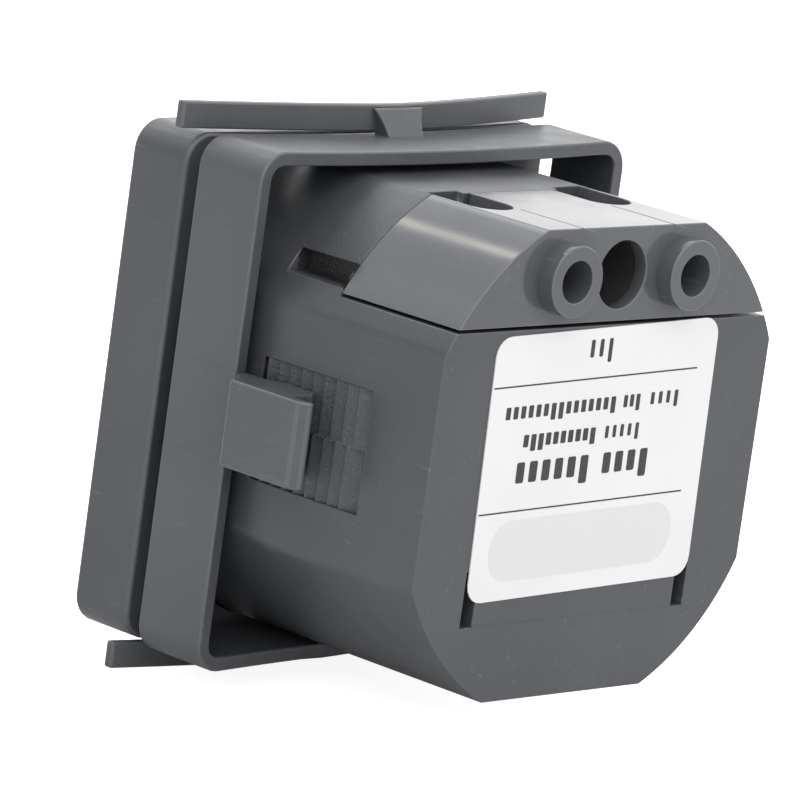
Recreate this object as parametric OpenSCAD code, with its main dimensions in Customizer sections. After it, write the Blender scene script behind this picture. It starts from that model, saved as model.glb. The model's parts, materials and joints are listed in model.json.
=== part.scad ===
// Panel-mount hour meter: a square bezel with a display, a housing with rounded flanks that
// passes through the panel, a snap-on terminal cover and a push-on mounting frame.
// Millimetres. X to the right seen from the front, Y from the panel to the rear, Z up.
// The origin is the middle of the bezel's rear face, which seats on the panel.

/* [Housing] */
// Width across the housing's flats
body_w = 45; // [40:0.5:54]
// Length of each flat between the rounded flanks
flat_w = 21.8; // [18:0.2:24]
// Distance from the panel to the housing's rear face
body_depth = 34; // [33.5:0.5:48]
// Wall thickness of the housing
wall = 2; // [1.8:0.1:2.2]
// Width of the two slots in the rear wall
slot_w = 1.6; // [1:0.1:2]
// Height of the two slots in the rear wall
slot_h = 5.3; // [3:0.1:7]
// Length of the pocket in each upper flank
pocket_len = 7.4; // [4:0.1:9]
// Height of the pocket in each upper flank
pocket_h = 2.15; // [1.5:0.05:2.6]

/* [Bezel] */
// How far the bezel reaches past the housing's flats
bezel_lip = 2.1; // [1.2:0.1:4]
// How far the bezel stands in front of the panel
bezel_depth = 7.35; // [6.5:0.05:12]
// Radius of the bezel's four corners
bezel_corner_r = 3; // [1:0.5:5]
// Width of the border round the lens
lens_border = 5.6; // [4.5:0.1:8]
// Thickness of the lens
lens_t = 1.2; // [0.8:0.1:1.6]
// How far the lens lies behind the bezel's front
lens_recess = 0.5; // [0.2:0.1:0.6]
// Thickness of the dial plate
dial_t = 0.6; // [0.4:0.1:0.8]

/* [Terminal cover] */
// Height of the joint between the housing and the terminal cover
split_z = 13.3; // [13.1:0.1:13.6]
// Length of the terminal cover from front to rear
cover_len = 15.3; // [14.8:0.1:16]
// Wall thickness of the terminal cover
cover_wall = 1.5; // [1.2:0.1:1.6]
// Gap between the cover and the housing
split_gap = 0.3; // [0.1:0.05:0.4]
// Distance of each wire entry from the middle
entry_x = 8.17; // [7.8:0.05:8.6]
// Height of the wire entries
entry_z = 17.9; // [17.6:0.05:18.2]
// Radius of each wire entry's bore
entry_bore_r = 2; // [1.5:0.1:2.4]
// Outer radius of each wire entry's collar
entry_collar_r = 3.4; // [3:0.1:3.6]
// How far each collar stands behind the rear face
entry_len = 1.9; // [1:0.1:4]
// Radius of the hole between the wire entries
middle_bore_r = 3.25; // [2:0.05:3.5]
// Width of each screwdriver slot in the cover's top
access_w = 4.9; // [4:0.1:5.2]
// Length of each screwdriver slot
access_len = 7.1; // [5.5:0.1:8]

/* [Ratchet] */
// Pitch of the ratchet teeth
ratchet_pitch = 1.505; // [1.3:0.005:1.6]
// Depth of the ratchet teeth
ratchet_depth = 0.75; // [0.4:0.05:0.9]
// Number of ratchet teeth in the upper row
ratchet_teeth = 9; // [6:1:9]
// Height of each ratchet row
ratchet_row_h = 5.85; // [5:0.05:6]

/* [Mounting frame] */
// Space between the housing's flats and the inside of the frame
frame_clear = 1.1; // [0.8:0.1:1.6]
// Wall thickness of the mounting frame
frame_wall = 1.4; // [1.2:0.1:1.7]
// Depth of the mounting frame from front to rear
frame_depth = 8.35; // [6:0.05:10]
// Where the frame stands behind the bezel's rear face
frame_y = 2.05; // [1.8:0.05:3]
// How far the top and bottom walls bow inwards
frame_bow = 0.35; // [0.2:0.05:0.6]
// Height of each spring bar
bar_h = 2.6; // [1.6:0.1:3]
// Thickness of each spring bar
bar_t = 1; // [0.8:0.1:1.4]
// How far the ends of a spring bar reach ahead of its middle
bar_bow = 3.7; // [2:0.1:5]
// Height of each latch
latch_h = 8.3; // [6:0.1:9]
// Thickness of each latch's finger tab
latch_tab_t = 1.3; // [1:0.1:1.6]

/* [Counter] */
// Radius of the number wheels
digit_r = 7; // [6.6:0.1:7.1]
// Width of a number wheel's rim
digit_w = 2.9; // [2.6:0.1:3.1]
// Distance from one number wheel to the next
digit_pitch = 4.3; // [4.2:0.05:4.4]
// Height of the number wheels' shaft
digit_z = 2; // [1:0.5:2]
// Radius of the number wheels' shaft
digit_shaft_r = 1; // [0.8:0.05:1.1]
// Radial running clearance of wheels, gears and screws
run_gap = 0.05; // [0.02:0.01:0.09]

/* [Hidden] */
$fn = 96;

// Gaps between pieces that stand next to each other
seat_gap = 0.3;
fit_gap = 0.1;
press_gap = 0.02;
cut = 1;

// Outlines
body_r = sqrt(pow(body_w / 2, 2) + pow(flat_w / 2, 2));
bezel_w = body_w + 2 * bezel_lip;
lens_w = bezel_w - 2 * lens_border;
lens_corner_r = 1.5;
lens_ledge = 1;
frame_half = body_w / 2 + frame_clear + frame_wall;
frame_outer_r = 3;
frame_inner_r = 1.4;

// Places along Y
lens_front = lens_recess - bezel_depth;
lens_back = lens_front + lens_t;
dial_front = lens_back + seat_gap;
dial_back = dial_front + dial_t;
cover_y = body_depth - cover_len;
rear_inside = body_depth - wall;
frame_rear = frame_y + frame_depth;

// Terminal bay
floor_top = split_z - split_gap / 2;
floor_t = 1.5;
floor_under = floor_top - floor_t;
cover_bottom = split_z + split_gap / 2;
access_y = cover_y + 3.3;
roof_under = body_w / 2 - cover_wall;
notch_w = 4.1;
notch_len = 1;
lead_r = 0.6;
lead_y = body_depth - 4.1;
lead_hole_r = 0.9;

// Terminals: a clamp and its screw under each screwdriver hole
screw_r = 1.4;
screw_head_r = 2.4;
screw_head_h = 0.85;
screw_head_gap = 0.15;
screw_slot_w = 0.6;
screw_head_z = roof_under - seat_gap - screw_head_h;
clamp_w = 6.6;
clamp_front = access_y - 3;
clamp_rear = access_y + 4;
clamp_top = screw_head_z - screw_head_gap;
clamp_bore_z = 16.8;
clamp_bore_r = 1.6;
screw_tip = clamp_bore_z + 0.8;

// Rear slots, label and flank pockets
slot_x = 13.8;
slot_bottom = -15;
label_w = 30.5;
label_h = 25.3;
label_z = 0.27;
label_t = 0.12;
label_corner_r = 3;
pocket_z = 13.9;
pocket_depth = 1.25;
pocket_floor = sqrt(pow(body_r, 2) - pow(pocket_z + pocket_h, 2)) - pocket_depth;
pocket_back_t = 1.5;

// Ratchet
ratchet_y = 11.9;
ratchet_margin = 0.45;
ratchet_crest = body_w / 2 - 0.05;
ratchet_valley = ratchet_crest - ratchet_depth;
ratchet_end = ratchet_y + ratchet_pitch * (ratchet_teeth - 0.15);

// Mounting frame
bar_half = frame_half;
bar_low = frame_half - 0.1;
bar_mid_y = frame_y + 0.8;
bar_steps = 12;
bar_curve = 1.35;
post_base_w = 4.7;
post_flare = 1;
post_base_y = frame_y + 2.45;
post_steps = 5;
latch_gap = 0.15;
latch_root_y = frame_rear + latch_gap;
pawl_tip = body_w / 2 + fit_gap;
pawl_depth = 0.5;
pawl_y = 14.3;
tab_out = frame_half + 2.7;
tab_front = frame_rear + 2;
tab_rear = frame_rear + 11.95;
tab_bevel = 0.75;

// Counter
digit_y = dial_back + 0.65 + digit_r;
digit_axis = [digit_y, digit_z];
wheel_count = 7;
count_teeth = 20;
pinion_teeth = 8;
pinion_shaft_r = 0.5;
count_distance = digit_r + pinion_shaft_r + 0.4;
count_m = 2 * (count_distance - fit_gap) / (count_teeth + pinion_teeth);
pinion_angle = 100;
pinion_axis = digit_axis + count_distance * [cos(pinion_angle), sin(pinion_angle)];
count_phase = pinion_angle + 180 / count_teeth;
side_gear_t = (digit_pitch - digit_w) / 2 - fit_gap;
lock_notch_r = 0.7;
lock_disc_r = count_distance - count_m * (pinion_teeth / 2 + 0.8) - seat_gap;
window_w = 6 * digit_pitch + digit_w + 1;
window_h = 5.6;

// Frame of the movement
plate_t = 1.2;
plate_out = body_w / 2 - wall - 0.6;
plate_in = plate_out - plate_t;
plate_half_h = sqrt(pow(body_r - wall, 2) - pow(plate_out, 2)) - seat_gap;
plate_front = dial_back + seat_gap;
plate_rear = rear_inside - seat_gap;
rod_r = 1.2;
rod_at = [[4.5, -9.5], [12.6, 9.2]];
pillar_r = 1.1;
pillar_at = [[29, 9.2], [29.6, -9.9]];
gear_plate_x = 3 * digit_pitch;
gear_plate_y = 9.6;
gear_plate_low = -17;

// Gear train: rotor pinion, three compound gears and the drive gear
train_m = 0.24;
train_teeth = 60;
train_pinion = 8;
half_tooth = 180 / train_teeth;
drive_m = 0.42;
drive_teeth = 32;
drive_pinion = 9;
mesh_gap = 0.05;
plane_t = 0.6;
plane_pitch = 0.9;
plane_a = digit_pitch * 3 + digit_w / 2 + 0.35;
plane_b = plane_a + plane_pitch;
plane_c = plane_b + plane_pitch;
plane_d = plane_c + plane_pitch;
arbor_r = 0.35;
drive_distance = drive_m * (drive_teeth + drive_pinion) / 2 + fit_gap;
train_distance = train_m * (train_teeth + train_pinion) / 2 + mesh_gap;
drive_angle = -20;
angle_32 = 25;
angle_21 = -65;
angle_rotor = -150;
gear_3_at = digit_axis + drive_distance * [cos(drive_angle), sin(drive_angle)];
gear_2_at = gear_3_at + train_distance * [cos(angle_32), sin(angle_32)];
gear_1_at = gear_2_at + train_distance * [cos(angle_21), sin(angle_21)];
rotor_at = gear_1_at + train_distance * [cos(angle_rotor), sin(angle_rotor)];

// Motor
can_r = 8.5;
can_t = 0.6;
can_left = 0.9;
rotor_shaft_r = 0.6;
magnet_r = 3.7;
claw_in = 4.15;
claw_out = 4.7;
claw_slots = 12;
claw_slot_w = 0.9;
bobbin_in = 4.9;
bobbin_out = 5.4;
flange_r = 7.7;
flange_t = 0.7;
bobbin_left = 2.2;
bobbin_right = gear_plate_x - can_t;
winding_r = 7.4;

// Board and its parts
board_t = 1.2;
board_rear = rear_inside - 3.2;
board_front = board_rear - board_t;
board_left = -plate_in + seat_gap;
board_right = gear_plate_x - seat_gap;
board_low = -10.5;
board_high = 9.5;
resistor_y = board_front - 1.7;
resistor_z = 5.2;
resistor_r = 1.5;
resistor_x = [-13, -4];
resistor_pin_r = 0.3;
capacitor_at = [-14, board_front - 6, -8];
capacitor_size = [10, 6, 9];
lead_end_z = 7.5;
coil_lead_r = 0.35;

// An outline drawn as (X, Z) and run along Y, or drawn as (Y, Z) and run along X
module along_y(y0, y1) {
    translate([0, y1, 0]) rotate([90, 0, 0]) linear_extrude(y1 - y0) children();
}

module along_x(x0, x1) {
    translate([x0, 0, 0]) rotate([90, 0, 90]) linear_extrude(x1 - x0) children();
}

module ring_x(x0, x1, at, outer, inner) {
    along_x(x0, x1) translate(at) difference() {
        circle(r = outer);
        circle(r = inner);
    }
}

module rod_x(x0, x1, at, r) {
    along_x(x0, x1) translate(at) circle(r = r);
}

module both_sides() {
    children();
    mirror([1, 0, 0]) children();
}

module both_ends() {
    children();
    mirror([0, 0, 1]) children();
}

module rounded_square(w, h, r) {
    square([w - 2 * r, h], center = true);
    square([w, h - 2 * r], center = true);
    for (x = [-1, 1], y = [-1, 1]) translate([x * (w / 2 - r), y * (h / 2 - r)]) circle(r = r);
}

// The housing's outline: a square whose corners are cut by one circle
module body_outline(inset) {
    intersection() {
        square(body_w - 2 * inset, center = true);
        circle(r = body_r - inset);
    }
}

module above(z) {
    translate([-body_w, z]) square([2 * body_w, body_w]);
}

// One spur gear with straight-sided teeth, a tooth centred on the angle phase
function gear_points(teeth, m, phase) = [
    for (i = [0 : teeth - 1], side = [[-0.26, -1.15], [-0.11, 0.8], [0.11, 0.8], [0.26, -1.15]])
        let (a = phase + (i + side[0]) * 360 / teeth, r = m * (teeth / 2 + side[1]))
        r * [cos(a), sin(a)]
];

module gear_outline(teeth, m, phase, bore_r) {
    difference() {
        polygon(gear_points(teeth, m, phase));
        circle(r = bore_r);
    }
}

module gear_at(x0, x1, at, teeth, m, phase, bore_r) {
    along_x(x0, x1) translate(at) gear_outline(teeth, m, phase, bore_r);
}

// ---- Front ----

module front_bezel() {
    color("#4d5156") difference() {
        along_y(-bezel_depth, 0) rounded_square(bezel_w, bezel_w, bezel_corner_r);
        along_y(-bezel_depth - cut, lens_back) rounded_square(lens_w, lens_w, lens_corner_r);
        along_y(lens_back - cut, dial_front + cut)
            rounded_square(lens_w - 2 * lens_ledge, lens_w - 2 * lens_ledge, lens_corner_r);
        along_y(dial_front, cut) body_outline(-fit_gap);
    }
}

module window_lens() {
    color("#dfe6ea", 0.35) along_y(lens_front, lens_back)
        rounded_square(lens_w - 2 * fit_gap, lens_w - 2 * fit_gap, lens_corner_r);
}

module dial_plate() {
    color("#202327") difference() {
        along_y(dial_front, dial_back) body_outline(fit_gap);
        along_y(dial_front - cut, dial_back + cut)
            translate([0, digit_z]) square([window_w, window_h], center = true);
    }
}

// ---- Housing and cover ----

// A row of ratchet teeth: steep towards the panel, sloping towards the rear
module ratchet_row(first_y, teeth, z0, row_h) {
    points = concat(
        [[ratchet_valley - 0.5, first_y]],
        [for (i = [0 : teeth - 1], p = [[ratchet_crest, 0], [ratchet_valley, 1]])
            [p[0], first_y + (i + p[1] * 0.999) * ratchet_pitch]],
        [[ratchet_valley - 0.5, first_y + teeth * ratchet_pitch]]
    );
    translate([0, 0, z0]) linear_extrude(row_h) polygon(points);
}

module ratchet_pocket() {
    translate([ratchet_valley, ratchet_y - ratchet_margin, -ratchet_row_h])
        cube([body_w, ratchet_end - ratchet_y + 2 * ratchet_margin, 2 * ratchet_row_h]);
}

// The lower row ends in a 45 degree slope, which runs up between the teeth of the upper row
module ratchet_row_slope() {
    foot = ratchet_valley - 0.5;
    along_y(0, ratchet_end + ratchet_margin) polygon([
        [foot, -ratchet_row_h], [body_w, -ratchet_row_h], [body_w, 0], [ratchet_crest, 0],
        [ratchet_valley, ratchet_depth], [foot, ratchet_depth]
    ]);
}

module ratchet_teeth_pair() {
    intersection() {
        union() {
            ratchet_row(ratchet_y, ratchet_teeth, 0, ratchet_row_h);
            intersection() {
                ratchet_row(ratchet_y + ratchet_pitch / 2, ratchet_teeth - 1, -ratchet_row_h,
                    ratchet_row_h + ratchet_depth);
                ratchet_row_slope();
            }
        }
        translate([ratchet_valley - 0.5, 0, -ratchet_row_h])
            cube([body_w, ratchet_end + ratchet_margin, 2 * ratchet_row_h]);
    }
}

module flank_pocket() {
    translate([pocket_floor, cover_y - fit_gap - pocket_len, pocket_z])
        cube([body_w, pocket_len, pocket_h]);
}

module flank_pocket_back() {
    along_y(cover_y - pocket_len - 2 * pocket_back_t, cover_y) intersection() {
        body_outline(wall / 2);
        translate([pocket_floor - pocket_back_t, pocket_z - pocket_back_t])
            square([body_w, pocket_h + 2 * pocket_back_t]);
    }
}

module lead_holes() {
    for (x = [-entry_x, entry_x]) translate([x, lead_y, floor_under - cut])
        cylinder(r = lead_hole_r, h = floor_t + 2 * cut);
}

// Screwdriver slots: open at the cover's front edge, round at the rear
module access_slots() {
    for (x = [-entry_x, entry_x]) translate([x, cover_y, roof_under - cut]) {
        translate([0, access_len - access_w / 2, 0]) cylinder(r = access_w / 2, h = body_w);
        translate([-access_w / 2, -cut, 0]) cube([access_w, access_len - access_w / 2 + cut, body_w]);
    }
}

// Each slot runs on a little way into the housing, along its outer side
module access_notches() {
    both_sides() translate([entry_x + access_w / 2 - notch_w, cover_y - notch_len, roof_under - cut])
        cube([notch_w, notch_len + cut, body_w]);
}

module rear_slots() {
    both_sides() translate([slot_x, rear_inside - cut, slot_bottom])
        cube([slot_w, wall + 2 * cut, slot_h]);
}

module housing() {
    color("#4d5156") {
        difference() {
            union() {
                difference() {
                    along_y(dial_back, body_depth) body_outline(0);
                    along_y(cover_y, body_depth + cut) above(floor_top);
                    along_y(dial_back - cut, cover_y - wall) body_outline(wall);
                    along_y(cover_y - wall - cut, rear_inside) difference() {
                        body_outline(wall);
                        above(floor_under);
                    }
                }
                both_sides() flank_pocket_back();
            }
            both_sides() flank_pocket();
            both_sides() ratchet_pocket();
            rear_slots();
            lead_holes();
            access_notches();
        }
        both_sides() ratchet_teeth_pair();
    }
}

module terminal_cover() {
    color("#53575d") difference() {
        union() {
            along_y(cover_y + mesh_gap, body_depth) intersection() {
                body_outline(0);
                above(cover_bottom);
            }
            along_y(body_depth - cut, body_depth + entry_len)
                for (x = [-entry_x, entry_x]) translate([x, entry_z]) circle(r = entry_collar_r);
        }
        along_y(cover_y - cut, body_depth - cover_wall) body_outline(cover_wall);
        along_y(body_depth - cover_wall - press_gap, body_depth + entry_len + cut) {
            for (x = [-entry_x, entry_x]) translate([x, entry_z]) circle(r = entry_bore_r);
            translate([0, entry_z]) circle(r = middle_bore_r);
        }
        access_slots();
    }
}

module rating_label() {
    color("#f2f2f2") along_y(body_depth, body_depth + label_t)
        translate([0, label_z]) rounded_square(label_w, label_h, label_corner_r);
}

// ---- Mounting frame ----

// A rounded square whose top and bottom bow inwards
module bowed_square(half, r) {
    span = half - frame_outer_r;
    lens = concat(
        [[-span, half + cut]],
        [for (i = [0 : 16]) let (x = span * (i / 8 - 1)) [x, half - frame_bow * (1 - pow(x / span, 2))]],
        [[span, half + cut]]
    );
    difference() {
        rounded_square(2 * half, 2 * half, r);
        polygon(lens);
        mirror([0, 1]) polygon(lens);
    }
}

// Seen from above: the middle rests against the frame and the ends reach forward
module spring_bar() {
    rear = [for (i = [-bar_steps : bar_steps]) let (t = i / bar_steps)
        [t * bar_half, bar_mid_y - bar_bow * pow(abs(t), bar_curve)]];
    front = [for (i = [bar_steps : -1 : -bar_steps]) rear[i + bar_steps] - [0, bar_t]];
    translate([0, 0, bar_low]) linear_extrude(bar_h) polygon(concat(rear, front));
}

module spring_post() {
    base = frame_half - frame_wall / 2;
    top = bar_low + bar_h - 0.3;
    side = [for (i = [0 : post_steps]) let (t = i / post_steps)
        [post_base_w / 2 + post_flare * t * t, base + t * (top - base)]];
    other = [for (i = [post_steps : -1 : 0]) [-side[i][0], side[i][1]]];
    intersection() {
        along_y(bar_mid_y - bar_t / 2, post_base_y + cut) polygon(concat(side, other));
        along_x(-body_w, body_w) polygon([
            [bar_mid_y - bar_t / 2, base], [post_base_y, base],
            [post_base_y, frame_half - frame_bow], [bar_mid_y + 0.1, top], [bar_mid_y - bar_t / 2, top]
        ]);
    }
}

module mounting_frame() {
    color("#4d5156") {
        along_y(frame_y, frame_rear) difference() {
            bowed_square(frame_half, frame_outer_r);
            bowed_square(frame_half - frame_wall, frame_inner_r);
        }
        both_ends() spring_bar();
        both_ends() spring_post();
    }
}

// The latch on the right: a root at the frame's edge, a pawl over the teeth and a finger tab
module latch() {
    inner = frame_half - frame_wall + fit_gap;
    pawl = [for (i = [0 : 2], p = [[pawl_tip + pawl_depth, 0.1], [pawl_tip, 0.95]])
        [p[0], pawl_y + (i + p[1]) * ratchet_pitch]];
    pawl_end = pawl_y + 3 * ratchet_pitch;
    outline = concat(
        [[frame_half, latch_root_y], [inner, latch_root_y], [inner, pawl_y - 0.9]],
        pawl,
        [
            [pawl_tip + pawl_depth, pawl_end], [inner, pawl_end + 0.6],
            [tab_out - latch_tab_t, pawl_end + 0.6], [tab_out - latch_tab_t, tab_rear],
            [tab_out - tab_bevel, tab_rear], [tab_out, tab_rear - 1.3 * tab_bevel],
            [tab_out, tab_front], [frame_half + 1.2, tab_front - 0.6]
        ]
    );
    translate([0, 0, -latch_h / 2]) linear_extrude(latch_h) polygon(outline);
}

module latch_right() {
    color("#4d5156") latch();
}

module latch_left() {
    color("#4d5156") mirror([1, 0, 0]) latch();
}

// ---- Terminals ----

module terminal_clamp(x) {
    color("#c9b37a") difference() {
        translate([x - clamp_w / 2, clamp_front, floor_top])
            cube([clamp_w, clamp_rear - clamp_front, clamp_top - floor_top]);
        along_y(clamp_front + 1, clamp_rear + cut) translate([x, clamp_bore_z]) circle(r = clamp_bore_r);
        translate([x, access_y, clamp_bore_z]) cylinder(r = screw_r + run_gap, h = body_w);
    }
}

module terminal_screw(x) {
    color("#b9bcc0") translate([x, access_y, 0]) {
        translate([0, 0, screw_tip]) cylinder(r = screw_r, h = screw_head_z - screw_tip);
        translate([0, 0, screw_head_z]) difference() {
            cylinder(r = screw_head_r, h = screw_head_h);
            translate([-body_w, -screw_slot_w / 2, screw_head_h / 2])
                cube([2 * body_w, screw_slot_w, screw_head_h]);
        }
    }
}

module terminal_clamp_left() { terminal_clamp(-entry_x); }
module terminal_clamp_right() { terminal_clamp(entry_x); }
module terminal_screw_left() { terminal_screw(-entry_x); }
module terminal_screw_right() { terminal_screw(entry_x); }

// ---- Board and wiring ----

module circuit_board() {
    color("#2f6b46") translate([board_left, board_front, board_low])
        cube([board_right - board_left, board_t, board_high - board_low]);
}

module film_capacitor() {
    color("#b04a35") translate(capacitor_at) cube(capacitor_size);
}

module dropper_resistor() {
    color("#c8b48a") {
        rod_x(resistor_x[0], resistor_x[1], [resistor_y, resistor_z], resistor_r);
        rod_x(resistor_x[0] - 1, resistor_x[1] + 1, [resistor_y, resistor_z], resistor_pin_r);
        for (x = [resistor_x[0] - 1, resistor_x[1] + 1]) along_y(resistor_y, board_front)
            translate([x, resistor_z]) circle(r = resistor_pin_r);
    }
}

// A wire from point to point, round at its bends
module wire(points, r) {
    last = len(points) - 1;
    for (i = [0 : last - 1]) let (d = points[i + 1] - points[i], n = norm(d))
        translate(points[i]) rotate([0, acos(d[2] / n), atan2(d[1], d[0])]) cylinder(r = r, h = n);
    for (i = [1 : last - 1]) translate(points[i]) sphere(r = r);
}

module supply_leads() {
    lead_z = floor_top + 1.4;
    color("#3a3a3a") for (x = [-entry_x, entry_x])
        wire([
            [x, clamp_rear, lead_z], [x, lead_y, lead_z], [x, lead_y, lead_end_z], [x, board_rear, lead_end_z]
        ], lead_r);
}

module coil_leads() {
    y = rotor_at[0] + 5;
    color("#a03030") for (z = [rotor_at[1] - 1, rotor_at[1] + 2])
        wire([[can_left, y, z], [can_left - 2.5, y, z], [can_left - 2.5, board_front, z]], coil_lead_r);
}

// ---- Motor ----

module motor_can() {
    color("#b4b8bc") {
        ring_x(can_left, gear_plate_x, rotor_at, can_r, can_r - can_t);
        ring_x(can_left, can_left + can_t, rotor_at, can_r, rotor_shaft_r + run_gap);
    }
}

module stator_claws() {
    color("#8d9298") difference() {
        ring_x(can_left + can_t, gear_plate_x, rotor_at, claw_out, claw_in);
        translate([bobbin_left, rotor_at[0], rotor_at[1]])
            for (i = [0 : claw_slots - 1]) rotate([i * 360 / claw_slots, 0, 0])
                translate([0, -claw_slot_w / 2, 0])
                    cube([bobbin_right - bobbin_left - 1, claw_slot_w, claw_out + cut]);
    }
}

module coil_bobbin() {
    color("#e8e4d8") {
        ring_x(bobbin_left, bobbin_right, rotor_at, bobbin_out, bobbin_in);
        ring_x(bobbin_left, bobbin_left + flange_t, rotor_at, flange_r, bobbin_in);
        ring_x(bobbin_right - flange_t, bobbin_right, rotor_at, flange_r, bobbin_in);
    }
}

module coil_winding() {
    color("#b0622c") ring_x(bobbin_left + flange_t + press_gap, bobbin_right - flange_t - press_gap,
        rotor_at, winding_r, bobbin_out + press_gap);
}

module rotor_magnet() {
    color("#33363a") ring_x(bobbin_left + 0.4, bobbin_right - 0.9, rotor_at, magnet_r,
        rotor_shaft_r + press_gap);
}

module rotor_shaft() {
    color("#c4c8cc") {
        rod_x(can_left - 0.6, plate_out - 0.4, rotor_at, rotor_shaft_r);
        gear_at(plane_d - 0.1, plane_d + plane_t + 0.1, rotor_at, train_pinion, train_m,
            angle_rotor + 180, rotor_shaft_r - 0.1);
    }
}

// ---- Gear train ----

// A wheel and its pinion on one hub, turning on an arbor
module compound_gear(at, wheel_x, wheel_phase, pinion_x, teeth, m, pinion_phase) {
    gear_at(wheel_x, wheel_x + plane_t, at, train_teeth, train_m, wheel_phase, arbor_r + run_gap);
    gear_at(pinion_x, wheel_x + plane_t, at, teeth, m, pinion_phase, arbor_r + run_gap);
}

module gear_1() {
    color("#d9c27c") compound_gear(gear_1_at, plane_d, angle_rotor + half_tooth,
        plane_c, train_pinion, train_m, angle_21 + 180);
}

module gear_2() {
    color("#d9c27c") compound_gear(gear_2_at, plane_c, angle_21 + half_tooth,
        plane_b, train_pinion, train_m, angle_32 + 180);
}

module gear_3() {
    color("#d9c27c") compound_gear(gear_3_at, plane_b, angle_32 + half_tooth,
        plane_a, drive_pinion, drive_m, drive_angle + 180);
}

module drive_gear() {
    color("#e6e2d6") gear_at(plane_a, plane_a + plane_t, digit_axis, drive_teeth, drive_m,
        drive_angle + 180 / drive_teeth, digit_shaft_r + run_gap);
}

module gear_arbors() {
    color("#c4c8cc") for (at = [gear_1_at, gear_2_at, gear_3_at])
        rod_x(gear_plate_x, plate_out, at, arbor_r);
}

module gear_plate() {
    color("#c9a94f") along_x(gear_plate_x, gear_plate_x + plate_t) difference() {
        translate([gear_plate_y, gear_plate_low])
            square([plate_rear - gear_plate_y, plate_half_h - gear_plate_low]);
        translate(digit_axis) circle(r = digit_r + 0.4);
        for (at = [gear_1_at, gear_2_at, gear_3_at]) translate(at) circle(r = arbor_r + press_gap);
        translate(rotor_at) circle(r = rotor_shaft_r + run_gap);
        translate(rod_at[1]) circle(r = rod_r + fit_gap);
    }
}

// ---- Counter ----

module side_plate() {
    difference() {
        translate([plate_front, -plate_half_h]) square([plate_rear - plate_front, 2 * plate_half_h]);
        translate(digit_axis) circle(r = digit_shaft_r + press_gap);
        translate(pinion_axis) circle(r = pinion_shaft_r + press_gap);
        for (at = rod_at) translate(at) circle(r = rod_r + press_gap);
    }
}

module side_plate_left() {
    color("#d8d5cc") along_x(-plate_out, -plate_in) side_plate();
}

module side_plate_right() {
    color("#d8d5cc") along_x(plate_in, plate_out) difference() {
        side_plate();
        for (at = [gear_1_at, gear_2_at, gear_3_at]) translate(at) circle(r = arbor_r + press_gap);
        translate(rotor_at) circle(r = rotor_shaft_r + run_gap);
    }
}

module frame_rods() {
    color("#c4c8cc") for (at = rod_at) rod_x(-plate_out, plate_out, at, rod_r);
}

module gear_pillars() {
    color("#c4c8cc") for (at = pillar_at) rod_x(gear_plate_x + plate_t, plate_in, at, pillar_r);
}

module wheel_shaft() {
    color("#c4c8cc") rod_x(-plate_out, plate_out, digit_axis, digit_shaft_r);
}

module pinion_shaft() {
    color("#c4c8cc") rod_x(-plate_out, plate_out, pinion_axis, pinion_shaft_r);
}

function wheel_x(n) = (4 - n) * digit_pitch;

module digit_wheel(n) {
    x0 = wheel_x(n) - digit_w / 2;
    x1 = wheel_x(n) + digit_w / 2;
    bore = digit_shaft_r + run_gap;
    color(n < 3 ? "#b03028" : "#17181a") {
        difference() {
            ring_x(x0, x1, digit_axis, digit_r, bore);
            ring_x(x0 - cut, x0 + 1.2, digit_axis, digit_r - 0.8, lock_disc_r);
        }
        if (n > 1)
            gear_at(x1 - 0.1, x1 + side_gear_t, digit_axis, count_teeth, count_m, count_phase, bore);
        if (n < wheel_count) along_x(x0 - side_gear_t, x0 + 0.1) translate(digit_axis) difference() {
            circle(r = lock_disc_r);
            circle(r = bore);
            rotate(pinion_angle + 360 / count_teeth) translate([lock_disc_r, 0]) circle(r = lock_notch_r);
        }
    }
}

module transfer_pinion(n) {
    x0 = wheel_x(n + 1) + digit_w / 2 + fit_gap;
    x1 = wheel_x(n) - digit_w / 2 - fit_gap;
    color("#e6e2d6")
        gear_at(x0, x1, pinion_axis, pinion_teeth, count_m, pinion_angle + 180, pinion_shaft_r + run_gap);
}

module digit_wheel_1() { digit_wheel(1); }
module digit_wheel_2() { digit_wheel(2); }
module digit_wheel_3() { digit_wheel(3); }
module digit_wheel_4() { digit_wheel(4); }
module digit_wheel_5() { digit_wheel(5); }
module digit_wheel_6() { digit_wheel(6); }
module digit_wheel_7() { digit_wheel(7); }
module transfer_pinion_1() { transfer_pinion(1); }
module transfer_pinion_2() { transfer_pinion(2); }
module transfer_pinion_3() { transfer_pinion(3); }
module transfer_pinion_4() { transfer_pinion(4); }
module transfer_pinion_5() { transfer_pinion(5); }
module transfer_pinion_6() { transfer_pinion(6); }

front_bezel();
window_lens();
dial_plate();
housing();
terminal_cover();
rating_label();
mounting_frame();
latch_left();
latch_right();
terminal_clamp_left();
terminal_clamp_right();
terminal_screw_left();
terminal_screw_right();
circuit_board();
dropper_resistor();
film_capacitor();
supply_leads();
coil_leads();
motor_can();
stator_claws();
coil_bobbin();
coil_winding();
rotor_magnet();
rotor_shaft();
gear_1();
gear_2();
gear_3();
drive_gear();
gear_arbors();
gear_plate();
side_plate_left();
side_plate_right();
frame_rods();
gear_pillars();
wheel_shaft();
pinion_shaft();
digit_wheel_1();
digit_wheel_2();
digit_wheel_3();
digit_wheel_4();
digit_wheel_5();
digit_wheel_6();
digit_wheel_7();
transfer_pinion_1();
transfer_pinion_2();
transfer_pinion_3();
transfer_pinion_4();
transfer_pinion_5();
transfer_pinion_6();
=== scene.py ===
"""Looks of a panel-mount hour meter: materials, print, light and the view from behind, around its CAD frame.

The frame is in metres. Sizes here are in millimetres and pass through mm().
X runs to the right seen from the front, Y from the panel to the rear, and Z up.
"""

import json
import math

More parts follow.
